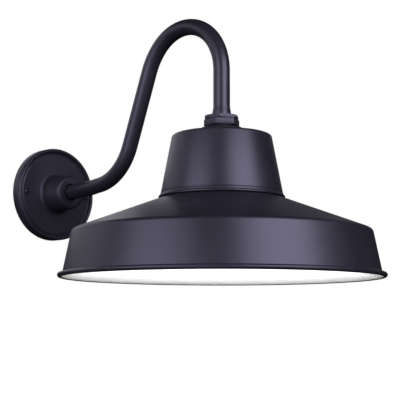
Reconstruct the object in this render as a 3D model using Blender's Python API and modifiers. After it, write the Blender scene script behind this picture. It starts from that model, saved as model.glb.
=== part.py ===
"""Gooseneck wall lantern: a round wall canopy, a bent tube arm and a wide conical shade over a screw-base
bulb.

Metres, +Z up. The origin is the centre of the wall plane behind the canopy. The lantern reaches out along
-Y, and the shade's axis is vertical, at y = -REACH. Sizes below are in millimetres, scaled by MM where used.
"""

from math import cos, dist, pi, radians, sin, tau

import bmesh
import bpy
from mathutils import Matrix, Vector

MM = 0.001
GAP = 0.3               # clearance between pieces that touch
LANTERN = "wall_lantern"

# Driving dimensions
SHADE_RADIUS = 203.2    # 16 inch shade, over its rolled rim
REACH = 354.5           # wall plane to the shade's axis
CANOPY_RADIUS = 68.0
TUBE_RADIUS = 10.65     # half-inch pipe
TUBE_BORE = 8.2

# Wall end
GASKET_DEPTH = 1.5
GASKET_INNER = 61.0
GASKET_OUTER = CANOPY_RADIUS
STRAP_LENGTH = 120.0
STRAP_WIDTH = 30.0
STRAP_THICK = 1.8
STRAP_HOLE = 12.5
BOX_SCREW_AT = 35.0     # junction-box screws, 70 mm apart
BOX_SLOT_LENGTH = 13.0
BOX_SLOT_RADIUS = 2.3
CANOPY_SCREW_AT = 54.0
SCREW_HOLE = 2.3
SCREW_RADIUS = 1.95
FACE_DEPTH = 13.6       # front of the canopy's flat face
CANOPY_FLOOR = 10.4     # back of the canopy's flat face
CANOPY_INNER = 65.4
FACE_RADIUS = 58.8
BEAD_AT = (65.2, 14.0)  # raised bead round the canopy's face
BEAD_RADIUS = 2.8
HUB_LENGTH = 49.5       # front of the hub, from the wall plane
HUB_FRONT_RADIUS = 23.6
HUB_BASE_RADIUS = 26.8
GROUND_SCREW_AT = 20.5
SET_SCREW_DEPTH = 21.0
SET_SCREW_TURN = 24.0   # degrees from straight down
SET_SCREW_KEY = 1.1     # its hexagon socket, across corners / 2
RECESS_WIDTH = 0.9      # a cross recess's slot
RECESS_TURN = 20.0
ARM_LOCKNUT_CORNER = 17.5
ARM_LOCKNUT_BACK = 7.0
GROUND_HOOK = 5.9       # radius of the lead's hook round the ground screw

# Arm centreline: straight out of the hub, an easing bend up, a straight rise, and a bend over to the shade
ARM_START = 5.6
ARM_BEND_AT = 50.8
ARM_EASE_IN = (477.0, 8.1)
ARM_RISE_RADIUS = 76.8
ARM_RISE_ANGLE = 68.3
ARM_EASE_OUT = (84.5, 22.0)
ARM_TOP_RADIUS = 69.7
ARM_END = 28.0          # height of the arm's lower end, inside the neck
BEND_STEP = 9.0         # degrees between two points of a bend
ARM_MOUTH = 3.0         # how far the bore's cutter runs past each end
STEM_RADIUS = 12.1      # swaged and threaded lower end
SWAGE_TOP = 82.0
SWAGE_FOOT = 70.0

# Stack of nuts and washers on the stem
LOCKNUT_CORNER = 23.2
LOCKNUT_Z = (63.7, 68.6)
LOCKNUT_TURN = -23.5
HEX_NUT_CORNER = 23.2
HEX_NUT_Z = (55.4, 63.4)
HEX_NUT_TURN = -35.0
SEAL_Z = (53.4, 55.1)
SEAL_RADIUS = 18.5
DOME_TOP = 53.1
DOME_RADIUS = 30.0
STEM_HOLE = 12.5
NECK_NUT_CORNER = 19.0
NECK_NUT_FOOT = 39.2
NECK_NUT_TURN = 10.0

# Neck housing
NECK_TOP = 45.5
NECK_EDGE_RADIUS = 63.9
NECK_EDGE_Z = 41.6
NECK_SLOPE = 0.1768     # radius gained per millimetre down
NECK_WALL = 1.5
NECK_DROP = 2.4         # fall of the neck's top from its middle to its edge
NECK_GROOVE_Z = -29.8
NECK_LIP_RADIUS = 79.4
NECK_LIP_Z = -36.1

# Shade skirt
SKIRT_WALL = 1.2
COLLAR_TOP = -22.0      # the skirt's collar stands inside the neck
SHOULDER = (186.6, -78.0)
SHOULDER_ROUND = 6.0
BAND_SLOPE = 0.198
RIM_ROLL = 3.05
RIM_Z = -136.35

# Lampholder and bulb, all turned about the shade's axis
HOLDER_RADIUS = 22.6
HOLDER_TOP = 14.6
HOLDER_FOOT = -31.0
SOCKET_BORE = 14.9
SOCKET_ROOF = -2.0
SHELL_OUTER = 14.5
SHELL_INNER = 13.8
BULB_TIP_Z = -5.2
BULB_LENGTH = 106.0
BULB_RADIUS = 29.5
BULB_WALL = 1.6
CAP_CREST = 13.2
CAP_ROOT = 12.5
CAP_PITCH = 3.6
LEAD_RADIUS = 1.3
LEAD_SPREAD = 2.2
LEAD_STEP = 13.5        # between a lead's points
LEAD_END = 0.8          # from the wall plane
TERMINAL_AT = 10.0

FINE, MEDIUM, COARSE, SMALL = 48, 32, 20, 12


def clear_scene():
    for obj in list(bpy.data.objects):
        bpy.data.objects.remove(obj, do_unlink=True)


def new_collection(name):
    collection = bpy.data.collections.new(name)
    bpy.context.scene.collection.children.link(collection)
    return collection


clear_scene()
PARTS = new_collection(LANTERN)
CUTTERS = new_collection("cutters")


def make_material(name, colour, roughness, metallic=0.0):
    material = bpy.data.materials.new(name)
    material.use_nodes = True
    shader = material.node_tree.nodes["Principled BSDF"]
    shader.inputs["Base Color"].default_value = (*colour, 1.0)
    shader.inputs["Roughness"].default_value = roughness
    shader.inputs["Metallic"].default_value = metallic
    return material


def black_coat(name):
    return make_material(name, (0.028, 0.027, 0.036), 0.38)


def plated_steel(name):
    return make_material(name, (0.56, 0.55, 0.53), 0.35, 1.0)


def brass(name):
    return make_material(name, (0.72, 0.52, 0.24), 0.3, 1.0)


def add_object(name, data, collection, material=None):
    obj = bpy.data.objects.new(name, data)
    collection.objects.link(obj)
    if material:
        data.materials.append(material)
    if collection is CUTTERS:
        obj.hide_render = True
        obj.display_type = "WIRE"
    return obj


def smooth(obj, degrees=35.0):
    obj.data.shade_smooth()
    obj.data.set_sharp_from_angle(angle=radians(degrees))


# Profiles: lists of (radius, height) in millimetres, from the top down the outer side


def arc(centre, radius, start, end, count):
    """Points on a circle, from one angle to another, in degrees from the outward direction."""
    turn = [radians(start + (end - start) * i / count) for i in range(count + 1)]
    return [(centre[0] + radius * cos(a), centre[1] + radius * sin(a)) for a in turn]


def rounded(before, corner, after, radius, count=3):
    """The arc that rounds a corner between two straight runs."""
    c = Vector(corner)
    to_before = (Vector(before) - c).normalized()
    to_after = (Vector(after) - c).normalized()
    half = to_before.angle(to_after) / 2
    back = radius * cos(half) / sin(half)
    centre = c + (to_before + to_after).normalized() * (radius / sin(half))
    first = (c + to_before * back - centre).normalized()
    last = (c + to_after * back - centre).normalized()
    return [tuple(centre + first.slerp(last, i / count) * radius) for i in range(count + 1)]


def offset(points, distance):
    """A run of points moved sideways towards the axis, for the inside of a thin wall."""
    moved = []
    for i, point in enumerate(points):
        ahead = Vector(points[min(i + 1, len(points) - 1)])
        behind = Vector(points[max(i - 1, 0)])
        run = (ahead - behind).normalized()
        moved.append((point[0] + run.y * distance, point[1] - run.x * distance))
    return moved


def turned(name, profile, material=None, closed=True, steps=MEDIUM, collection=PARTS):
    """A solid turned about its own Z axis. A closed profile is a ring; an open one ends on the axis."""
    mesh = bpy.data.meshes.new(name)
    count = len(profile)
    edges = [(i, i + 1) for i in range(count - 1)]
    if closed:
        edges.append((count - 1, 0))
    mesh.from_pydata([(r * MM, 0.0, z * MM) for r, z in profile], edges, [])
    obj = add_object(name, mesh, collection, material)
    screw = obj.modifiers.new("turn", "SCREW")
    screw.axis = "Z"
    screw.steps = steps
    screw.render_steps = steps
    screw.use_merge_vertices = True
    screw.merge_threshold = 0.00001
    screw.use_smooth_shade = True
    return obj


def bake(obj):
    """Replaces an object by a plain mesh of its evaluated shape, in world space."""
    bpy.context.view_layer.update()
    evaluated = obj.evaluated_get(bpy.context.evaluated_depsgraph_get())
    mesh = bpy.data.meshes.new_from_object(evaluated)
    mesh.transform(obj.matrix_world)
    weld = bmesh.new()
    weld.from_mesh(mesh)
    bmesh.ops.remove_doubles(weld, verts=weld.verts, dist=0.000001)
    weld.to_mesh(mesh)
    weld.free()
    name = obj.name
    collection = PARTS if obj.name in PARTS.objects else CUTTERS
    bpy.data.objects.remove(obj, do_unlink=True)
    return add_object(name, mesh, collection)


def combine(obj, cutter, operation="DIFFERENCE"):
    """Cuts or joins a piece with a cutter, which is parented to the piece so that it moves with it."""
    cutter.parent = obj
    modifier = obj.modifiers.new(cutter.name, "BOOLEAN")
    modifier.operation = operation
    modifier.solver = "EXACT"
    modifier.object = cutter
    return obj


def stand_on_axis(obj):
    """Puts a turned piece on the shade's axis."""
    obj.location.y = -REACH * MM
    return obj


def face_out(obj):
    """Turns a piece so that its own +Z points out from the wall, along -Y."""
    obj.rotation_euler.x = pi / 2
    return obj


def cylinder(name, radius, low, high, collection=CUTTERS, sides=SMALL):
    mesh = bpy.data.meshes.new(name)
    build = bmesh.new()
    place = Matrix.Translation((0.0, 0.0, (low + high) / 2 * MM))
    bmesh.ops.create_cone(build, cap_ends=True, segments=sides, radius1=radius * MM, radius2=radius * MM,
                          depth=(high - low) * MM, matrix=place)
    build.to_mesh(mesh)
    build.free()
    return add_object(name, mesh, collection)


def block(name, size, centre, collection=CUTTERS):
    mesh = bpy.data.meshes.new(name)
    build = bmesh.new()
    place = Matrix.Translation(Vector(centre) * MM) @ Matrix.Diagonal((*(Vector(size) * MM), 1.0))
    bmesh.ops.create_cube(build, size=1.0, matrix=place)
    build.to_mesh(mesh)
    build.free()
    return add_object(name, mesh, collection)


def tube(name, points, radii, material=None, collection=PARTS, resolution=4):
    """A round bar along a run of points, with a radius at each, and filled caps."""
    curve = bpy.data.curves.new(name, "CURVE")
    curve.dimensions = "3D"
    curve.twist_mode = "MINIMUM"
    curve.bevel_depth = MM
    curve.bevel_resolution = resolution
    curve.use_fill_caps = True
    spline = curve.splines.new("POLY")
    spline.points.add(len(points) - 1)
    for knot, point, radius in zip(spline.points, points, radii):
        knot.co = (*(Vector(point) * MM), 1.0)
        knot.radius = radius
    return add_object(name, curve, collection, material)


def circle_outline(centre, radius, count=COARSE):
    turn = [tau * i / count for i in range(count)]
    return [(centre[0] + radius * cos(a), centre[1] + radius * sin(a)) for a in turn]


def slot_outline(centre, length, radius, count=6):
    """A slot along X with round ends."""
    reach = length / 2 - radius
    right = arc((centre[0] + reach, centre[1]), radius, -90, 90, count)
    left = arc((centre[0] - reach, centre[1]), radius, 90, 270, count)
    return right + left


def flat_piece(name, outlines, thickness, material):
    """A flat plate, from its outline and the outlines of its holes."""
    curve = bpy.data.curves.new(name, "CURVE")
    curve.dimensions = "2D"
    curve.fill_mode = "BOTH"
    curve.extrude = thickness / 2 * MM
    for outline in outlines:
        spline = curve.splines.new("POLY")
        spline.points.add(len(outline) - 1)
        spline.use_cyclic_u = True
        for knot, (x, y) in zip(spline.points, outline):
            knot.co = (x * MM, y * MM, 0.0, 1.0)
    return add_object(name, curve, PARTS, material)


def hex_nut(name, corner, bore, low, high, turn, material, chamfer):
    """A hexagon nut with turned chamfers and a plain bore. Turn is one flat's heading, in degrees from -Y."""
    nut = cylinder(name, corner, low, high, PARTS, 6)
    nut.data.materials.append(material)
    nut.data.transform(Matrix.Rotation(radians(turn - 90.0), 4, "Z"))
    shoulder = chamfer * 0.6 - 0.2
    barrel = [(0, high + 1), (corner - chamfer - 1, high + 1), (corner + 0.6, high - shoulder),
              (corner + 0.6, low + shoulder), (corner - chamfer - 1, low - 1), (0, low - 1)]
    cone = turned(f"{name}_chamfer", barrel, closed=False, steps=COARSE, collection=CUTTERS)
    combine(nut, cone, "INTERSECT")
    combine(nut, cylinder(name + "_bore", bore, low - 1, high + 1, sides=COARSE))
    return nut


# Wall end: gasket, strap, canopy with its hub, and their screws


def make_wall_gasket():
    ring = [(GASKET_OUTER, GASKET_DEPTH), (GASKET_OUTER, 0), (GASKET_INNER, 0), (GASKET_INNER, GASKET_DEPTH)]
    face_out(turned("wall_gasket", ring, make_material("foam_rubber", (0.03, 0.03, 0.03), 0.9)))


def canopy_profile():
    """From the hub's front over its fillet, flat face, raised bead and edge to the hollow back and bore."""
    hub_front_edge = (HUB_FRONT_RADIUS, HUB_LENGTH)
    hub_front = rounded((TUBE_RADIUS, HUB_LENGTH), hub_front_edge, (HUB_BASE_RADIUS, 16.0), 2.6)
    hub_foot = rounded(hub_front_edge, (HUB_BASE_RADIUS, FACE_DEPTH + 0.1), (FACE_RADIUS, FACE_DEPTH), 3.0)
    face_edge = [(FACE_RADIUS, FACE_DEPTH), (FACE_RADIUS + 1.2, FACE_DEPTH - 0.5),
                 (FACE_RADIUS + 2.2, FACE_DEPTH - 1.3), (FACE_RADIUS + 3.4, FACE_DEPTH - 1.1)]
    bead = arc(BEAD_AT, BEAD_RADIUS, 165, 0, 5)
    groove = [(CANOPY_RADIUS - 0.8, 12.4), (CANOPY_RADIUS - 0.8, 11.7), (CANOPY_RADIUS, 10.8)]
    back = GASKET_DEPTH + GAP
    skirt = [(CANOPY_RADIUS, back), (CANOPY_INNER, back), (CANOPY_INNER, CANOPY_FLOOR - 1.0),
             (CANOPY_INNER - 1.0, CANOPY_FLOOR)]
    bore = [(TUBE_RADIUS + GAP, CANOPY_FLOOR), (TUBE_RADIUS + GAP, HUB_LENGTH)]
    return hub_front + hub_foot + face_edge + bead + groove + skirt + bore


def set_screw_frame():
    """Places a piece on the set screw's line: its own +Z points out through the hub's underside."""
    down = Matrix.Rotation(radians(180.0 + SET_SCREW_TURN), 4, "Y")
    return Matrix.Translation((0.0, -SET_SCREW_DEPTH * MM, 0.0)) @ down


def make_canopy():
    canopy = face_out(turned("canopy", canopy_profile(), steps=FINE))
    canopy = bake(canopy)
    canopy.data.materials.append(black_coat("black_cast_canopy"))
    for side in (-1, 1):
        hole = face_out(cylinder(f"canopy_hole_{side}", SCREW_HOLE, 5, 20))
        hole.location.x = side * CANOPY_SCREW_AT * MM
        combine(canopy, hole)
    hole = cylinder("set_screw_hole", SCREW_HOLE, TUBE_RADIUS - 3, HUB_BASE_RADIUS + 4)
    hole.matrix_world = set_screw_frame()
    combine(canopy, hole)
    smooth(canopy)


def make_set_screw():
    low, high = TUBE_RADIUS + GAP, HUB_BASE_RADIUS - 1.4
    screw = cylinder("hub_set_screw", SCREW_RADIUS, low, high, PARTS, SMALL)
    screw.data.materials.append(make_material("black_oxide_steel", (0.05, 0.05, 0.055), 0.4, 1.0))
    screw.matrix_world = set_screw_frame()
    socket = cylinder("set_screw_socket", SET_SCREW_KEY, high - 1.8, high + 1, sides=6)
    combine(screw, socket)


def pan_screw(name, head_radius, head_height, edge, seat, material):
    """A round-headed screw with a cross recess, whose head sits at seat and has a straight rim, edge high."""
    tip = GAP
    crown = [(0, seat + head_height), (head_radius * 0.55, seat + head_height * 0.9),
             (head_radius * 0.88, seat + head_height * 0.55), (head_radius, seat + edge)]
    shank = [(head_radius, seat), (SCREW_RADIUS, seat), (SCREW_RADIUS, tip + 0.6), (SCREW_RADIUS - 0.6, tip),
             (0, tip)]
    screw = turned(name, crown + shank, closed=False, steps=SMALL)
    screw = bake(screw)
    screw.data.materials.append(material)
    for turn, label in ((0, "a"), (90, "b")):
        size = (head_radius * 1.1, RECESS_WIDTH, 2.0)
        slot = block(f"{name}_slot_{label}", size, (0, 0, seat + head_height))
        slot.data.transform(Matrix.Rotation(radians(turn + RECESS_TURN), 4, "Z"))
        combine(screw, slot)
    smooth(screw)
    return screw


def make_canopy_screws():
    for side, label in ((-1, "left"), (1, "right")):
        black = black_coat(f"black_screw_{label}")
        screw = pan_screw(f"canopy_screw_{label}", 4.2, 2.8, 0.4, FACE_DEPTH + GAP, black)
        face_out(screw)
        screw.location.x = side * CANOPY_SCREW_AT * MM


def make_mounting_strap():
    outlines = [slot_outline((0, 0), STRAP_LENGTH, STRAP_WIDTH / 2, 8), circle_outline((0, 0), STRAP_HOLE)]
    for side in (-1, 1):
        outlines.append(slot_outline((side * BOX_SCREW_AT, 0), BOX_SLOT_LENGTH, BOX_SLOT_RADIUS, 5))
        outlines.append(circle_outline((side * CANOPY_SCREW_AT, 0), SCREW_HOLE, 12))
    outlines.append(circle_outline((GROUND_SCREW_AT, 0), SCREW_HOLE, 12))
    strap = flat_piece("mounting_strap", outlines, STRAP_THICK, plated_steel("zinc_plated_strap"))
    face_out(strap)
    strap.location.y = -STRAP_THICK / 2 * MM


def make_ground_screw():
    green = make_material("green_screw", (0.05, 0.30, 0.10), 0.4, 0.6)
    screw = face_out(pan_screw("ground_screw", 4.0, 2.2, 0.9, STRAP_THICK + GAP, green))
    screw.location.x = GROUND_SCREW_AT * MM


# Arm


def arm_runs():
    """The arm's bends and straights as (kind, length or radius, angle), out from the hub to the shade."""
    up = radians(ARM_RISE_ANGLE)
    ease_in, ease_out = radians(ARM_EASE_IN[1]), radians(ARM_EASE_OUT[1])
    return [("bend", ARM_EASE_IN[0], ease_in), ("bend", ARM_RISE_RADIUS, up - ease_in), ("rise", 0.0, 0.0),
            ("bend", ARM_EASE_OUT[0], -ease_out), ("bend", ARM_TOP_RADIUS, ease_out - up - pi / 2)]


def follow(start, heading, run):
    """Points along one bend, from start, and the heading it ends with."""
    _, radius, turn = run
    side = 1 if turn > 0 else -1
    centre = (start[0] - side * radius * sin(heading), start[1] + side * radius * cos(heading))
    count = max(2, round(abs(turn) / radians(BEND_STEP)))
    points = []
    for i in range(1, count + 1):
        a = heading + turn * i / count
        points.append((centre[0] + side * radius * sin(a), centre[1] - side * radius * cos(a)))
    return points, heading + turn


def arm_centreline():
    """The arm's centreline as (distance from the wall, height), from inside the canopy to inside the neck."""
    bends_reach = 0.0
    heading = 0.0
    for run in arm_runs():
        if run[0] == "bend":
            points, heading = follow((0.0, 0.0), heading, run)
            bends_reach += points[-1][0]
    rise = (REACH - ARM_BEND_AT - bends_reach) / cos(radians(ARM_RISE_ANGLE))
    path = [(ARM_START, 0.0), (ARM_BEND_AT, 0.0)]
    heading = 0.0
    for run in arm_runs():
        if run[0] == "bend":
            points, heading = follow(path[-1], heading, run)
            path += points
        else:
            path.append((path[-1][0] + rise * cos(heading), path[-1][1] + rise * sin(heading)))
    path += [(REACH, SWAGE_TOP), (REACH, SWAGE_TOP - 5), (REACH, SWAGE_FOOT), (REACH, ARM_END)]
    return path


def in_space(path, sideways=0.0):
    return [(sideways, -s, z) for s, z in path]


def make_arm():
    path = arm_centreline()
    radii = [TUBE_RADIUS] * (len(path) - 3) + [TUBE_RADIUS + 0.35, STEM_RADIUS, STEM_RADIUS]
    arm = bake(tube("arm_tube", in_space(path), radii))
    arm.data.materials.append(black_coat("black_arm"))
    ends = [(ARM_START - ARM_MOUTH, 0.0), *path[1:-1], (REACH, ARM_END - ARM_MOUTH)]
    bore = bake(tube("arm_bore", in_space(ends), [TUBE_BORE] * len(ends), collection=CUTTERS, resolution=2))
    combine(arm, bore)
    smooth(arm)


def make_nuts():
    front = CANOPY_FLOOR - GAP
    zinc = plated_steel("zinc_nut")
    bore = TUBE_RADIUS + GAP
    face_out(hex_nut("arm_locknut", ARM_LOCKNUT_CORNER, bore, ARM_LOCKNUT_BACK, front, 0, zinc, 0.6))
    neck_nut_z = (NECK_NUT_FOOT, NECK_TOP - NECK_WALL - GAP)
    nuts = (
        ("stem_locknut", LOCKNUT_CORNER, LOCKNUT_Z, LOCKNUT_TURN, black_coat("black_locknut"), 2.0),
        ("stem_hex_nut", HEX_NUT_CORNER, HEX_NUT_Z, HEX_NUT_TURN, black_coat("black_hex_nut"), 0.8),
        ("neck_locknut", NECK_NUT_CORNER, neck_nut_z, NECK_NUT_TURN, plated_steel("zinc_neck_nut"), 0.8),
    )
    for name, corner, span, turn, material, chamfer in nuts:
        stand_on_axis(hex_nut(name, corner, STEM_RADIUS + GAP, *span, turn, material, chamfer))


# Shade: sealing washer, domed washer, neck housing and skirt


def make_washers():
    low, high = SEAL_Z
    seal = [(SEAL_RADIUS, high), (SEAL_RADIUS, low), (STEM_HOLE, low), (STEM_HOLE, high)]
    rubber = make_material("black_rubber", (0.02, 0.02, 0.02), 0.8)
    stand_on_axis(turned("sealing_washer", seal, rubber, steps=COARSE))
    foot = NECK_TOP + GAP
    crown = rounded((STEM_HOLE, DOME_TOP), (26.5, DOME_TOP), (DOME_RADIUS, foot), 3.0)
    outer = [(STEM_HOLE, DOME_TOP), *crown, (DOME_RADIUS, foot)]
    inner = [(DOME_RADIUS - 1.8, foot), (25.4, DOME_TOP - 1.7), (STEM_HOLE, DOME_TOP - 1.7)]
    stand_on_axis(turned("domed_washer", outer + inner, black_coat("black_washer"), steps=MEDIUM))


def neck_radius(z):
    return NECK_EDGE_RADIUS + (NECK_EDGE_Z - z) * NECK_SLOPE


def make_neck_housing():
    """A gently domed top, a tapered wall, a narrow groove and a lip that covers the skirt's joint."""
    groove_z = NECK_GROOVE_Z
    at_groove = neck_radius(groove_z)
    flat_edge = DOME_RADIUS + 2
    top_edge = (NECK_EDGE_RADIUS - 1.0, NECK_TOP - NECK_DROP)
    edge = rounded((DOME_RADIUS, NECK_TOP), top_edge, (at_groove, groove_z), 3.6, 4)
    upper = [(STEM_HOLE, NECK_TOP), (flat_edge, NECK_TOP), *edge, (at_groove, groove_z + 0.6)]
    cut = [(at_groove - 0.5, groove_z + 0.2), (at_groove - 0.5, groove_z - 0.2)]
    lip = [(at_groove + 0.5, groove_z - 0.8), (NECK_LIP_RADIUS - 1.2, NECK_LIP_Z + 3.2),
           (NECK_LIP_RADIUS, NECK_LIP_Z + 1.6), (NECK_LIP_RADIUS, NECK_LIP_Z)]
    shoulder_z = NECK_EDGE_Z - 4
    ceiling = NECK_TOP - NECK_WALL
    inside = [(neck_radius(NECK_LIP_Z) - NECK_WALL, NECK_LIP_Z),
              (neck_radius(shoulder_z) - NECK_WALL, shoulder_z),
              (NECK_EDGE_RADIUS - 5.0, ceiling - NECK_DROP), (flat_edge, ceiling), (STEM_HOLE, ceiling)]
    stand_on_axis(turned("neck_housing", upper + cut + lip + inside, black_coat("black_neck"), steps=FINE))


def skirt_outer():
    """The skirt's outer side, from its collar inside the neck down to the rolled rim."""
    collar_gap = NECK_WALL + GAP + 0.1
    collar_top = (neck_radius(COLLAR_TOP) - collar_gap, COLLAR_TOP)
    collar_foot = (neck_radius(NECK_LIP_Z) - collar_gap, NECK_LIP_Z - GAP)
    root = rounded(collar_top, collar_foot, SHOULDER, 2.0, 2)
    roll_centre = (SHADE_RADIUS - RIM_ROLL, RIM_Z + RIM_ROLL)
    band_foot = (SHOULDER[0] + (SHOULDER[1] - roll_centre[1]) * BAND_SLOPE - 0.5, roll_centre[1] + 2.6)
    shoulder = rounded(collar_foot, SHOULDER, band_foot, SHOULDER_ROUND, 3)
    return [collar_top, *root, *shoulder, band_foot], roll_centre


def make_shade_skirt():
    outer, roll_centre = skirt_outer()
    roll = arc(roll_centre, RIM_ROLL, 130, -165, 8)
    profile = outer + roll + offset(outer, SKIRT_WALL)[::-1]
    stand_on_axis(turned("shade_skirt", profile, black_coat("black_shade"), steps=FINE))


# Lampholder and leads


def make_lampholder():
    white = make_material("white_porcelain", (0.86, 0.85, 0.82), 0.15)
    lip = HOLDER_FOOT
    outside = [(0, HOLDER_TOP), (20.5, HOLDER_TOP), (HOLDER_RADIUS, HOLDER_TOP - 6.4),
               (HOLDER_RADIUS, lip + 9), (20.8, lip + 7), (20.8, lip + 1), (19.8, lip)]
    inside = [(SOCKET_BORE, lip), (SOCKET_BORE, SOCKET_ROOF), (0, SOCKET_ROOF)]
    stand_on_axis(turned("lampholder_body", outside + inside, white, closed=False, steps=COARSE))
    shell = [(SHELL_OUTER, SOCKET_ROOF - 1.0), (SHELL_OUTER, lip + 2), (SHELL_INNER, lip + 2),
             (SHELL_INNER, SOCKET_ROOF - 1.0)]
    stand_on_axis(turned("lampholder_shell", shell, brass("brass_shell"), steps=COARSE))
    tongue = block("lampholder_contact", (7.0, 5.0, 0.8), (0, 0, BULB_TIP_Z + GAP + 0.4), PARTS)
    tongue.data.materials.append(brass("brass_contact"))
    post = block("contact_post", (2.4, 5.0, 2.2), (-2.3, 0, SOCKET_ROOF - 1.1 - GAP))
    combine(tongue, post, "UNION")
    stand_on_axis(tongue)
    cap_foot = HOLDER_TOP - 9.0
    cap_radius = HOLDER_RADIUS + GAP
    cap_outside = [(17.0, 36.0), (17.0, 26.0), (21.5, 22.5), (25.0, 17.0), (25.0, cap_foot)]
    cap_inside = [(cap_radius, cap_foot), (cap_radius, 16.2), (20.0, 20.6), (15.2, 24.0), (STEM_HOLE, 24.0),
                  (STEM_HOLE, 36.0)]
    cap = turned("lampholder_cap", cap_outside + cap_inside, plated_steel("aluminium_cap"), steps=COARSE)
    stand_on_axis(cap)
    head_foot = HOLDER_TOP + GAP
    head = [(0, 16.9), (2.6, 16.9), (3.0, 16.4), (3.0, head_foot), (0, head_foot)]
    metals = ((-1, "line", brass("brass_terminal")), (1, "neutral", plated_steel("nickel_terminal")))
    for side, label, material in metals:
        screw = stand_on_axis(turned(f"terminal_screw_{label}", head, material, closed=False, steps=SMALL))
        screw.location.x = side * (TERMINAL_AT + 1.5) * MM


def make_leads():
    """Two insulated wires, from the lampholder's terminals up the stem, along the arm and out at the wall."""
    path = arm_centreline()
    dense = []
    for (s0, z0), (s1, z1) in zip(path, path[1:]):
        count = max(1, round(dist((s0, z0), (s1, z1)) / LEAD_STEP))
        dense += [(s0 + (s1 - s0) * i / count, z0 + (z1 - z0) * i / count) for i in range(count)]
    dense += [path[-1]]
    for side, label, colour in ((-1, "line", (0.02, 0.02, 0.02)), (1, "neutral", (0.85, 0.85, 0.83))):
        run = [(side * LEAD_SPREAD, -LEAD_END, 0.0), *in_space(dense, side * LEAD_SPREAD)]
        tail = [(side * 3.2, -REACH, 25.4), (side * 5.6, -REACH, 22.6), (side * 7.6, -REACH, 19.6),
                (side * 7.9, -REACH, 17.2)]
        points = run + tail
        vinyl = make_material(f"{label}_insulation", colour, 0.45)
        tube(f"{label}_lead", points, [LEAD_RADIUS] * len(points), vinyl, resolution=1)


def make_ground_lead():
    depth = STRAP_THICK + GAP + LEAD_RADIUS + 0.1
    hook = [(x, -depth, z) for x, z in arc((GROUND_SCREW_AT, 0.0), GROUND_HOOK, 50, 206, 6)]
    run = [(11.5, -depth, -6.2), (8.0, -depth + 0.5, -6.6), (5.4, -2.2, -6.6), (4.6, -LEAD_END, -6.6)]
    points = hook + run
    green = make_material("green_insulation", (0.04, 0.28, 0.09), 0.45)
    tube("ground_lead", points, [LEAD_RADIUS] * len(points), green, resolution=1)


# Bulb, which unscrews and comes out downwards


def thread_waves(top, foot):
    """The rounded thread of a screw cap, as rings one pitch apart."""
    count = int((top - foot) / CAP_PITCH * 4)
    middle, swing = (CAP_CREST + CAP_ROOT) / 2, (CAP_CREST - CAP_ROOT) / 2
    return [(middle - swing * cos(i * pi / 2), top - i * CAP_PITCH / 4) for i in range(count + 1)]


def make_bulb():
    seat = Vector((0.0, -REACH * MM, BULB_TIP_Z * MM))
    socket_line = bpy.data.objects.new("bulb_axis", None)
    PARTS.objects.link(socket_line)
    socket_line.location = seat
    white_plastic = make_material("white_bulb_plastic", (0.88, 0.88, 0.86), 0.4)
    cap_top, cap_foot = -4.4, -26.0
    neck_z, belly_z, tip_z = -28.0, -72.0, -BULB_LENGTH
    tip = [(0, 0), (3.4, 0), (4.4, -0.9), (4.4, -1.7), (0, -1.7)]
    insulator = [(0, -2.0), (5.6, -2.0), (8.6, -4.0), (8.6, -5.4), (0, -5.4)]
    threads = thread_waves(cap_top - 3.0, cap_foot + 1.5)
    cap_outer = [(9.0, cap_top), (CAP_ROOT, cap_top - 2.0), *threads, (12.9, cap_foot)]
    cap_inner = [(11.6, cap_foot), (11.6, cap_top - 3.0), (9.0, cap_top - 1.2)]
    housing_outside = [(13.3, neck_z + 1.6), (14.6, neck_z - 3), (16.5, neck_z - 12), (22.0, neck_z - 28),
                       (27.4, belly_z + 4), (28.2, belly_z + 1)]
    housing_inside = [(26.4, belly_z + 1), (20.4, neck_z - 28), (14.8, neck_z - 12), (12.0, neck_z - 2),
                      (12.0, neck_z + 1.6)]
    board = [(0, belly_z + 3.6), (23.6, belly_z + 3.6), (23.6, belly_z + 2.0), (0, belly_z + 2.0)]
    widest_z = belly_z - 4.5
    squash = (widest_z - tip_z) / BULB_RADIUS
    round_dome = arc((0, 0), BULB_RADIUS, 0, -90, 7)[:-1]
    dome = [(r, widest_z + z * squash) for r, z in round_dome]
    shell = [(28.4, belly_z + GAP), *dome, (0, tip_z)]
    hollow = [(r - BULB_WALL, z + (BULB_WALL if r < 20 else 0.6)) for r, z in reversed(dome)]
    hollow = [(0, tip_z + BULB_WALL), *hollow, (26.8, belly_z + GAP)]
    glass = make_material("black_insulator", (0.02, 0.02, 0.02), 0.3)
    white_board = make_material("white_board", (0.8, 0.8, 0.78), 0.5)
    milky = make_material("milky_diffuser", (0.93, 0.93, 0.91), 0.3)
    pieces = (
        ("bulb_contact", tip, plated_steel("tinned_contact"), False, SMALL),
        ("bulb_insulator", insulator, glass, False, SMALL),
        ("bulb_screw_cap", cap_outer + cap_inner, plated_steel("nickel_cap"), True, SMALL),
        ("bulb_housing", housing_outside + housing_inside, white_plastic, True, COARSE),
        ("bulb_led_board", board, white_board, False, COARSE),
        ("bulb_diffuser", hollow + shell, milky, False, COARSE),
    )
    for name, profile, material, closed, steps in pieces:
        piece = turned(name, profile, material, closed, steps)
        piece.parent = socket_line


make_wall_gasket()
make_mounting_strap()
make_canopy()
make_set_screw()
make_canopy_screws()
make_ground_screw()
make_arm()
make_nuts()
make_washers()
make_neck_housing()
make_shade_skirt()
make_lampholder()
make_leads()
make_ground_lead()
make_bulb()
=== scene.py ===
# %% [markdown]
# # A gooseneck wall lantern, from its wall canopy to its bulb
# The lantern hangs from a bent tube. The working model already holds every part at its true size and place,
# so this lesson adds what a working model leaves out: fine round surfaces, rolled and rounded edges, threads,
# and a finish for each metal, plastic and rubber. We load the working model first and keep its box, because
# the finished lantern has to stay the same size.

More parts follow.
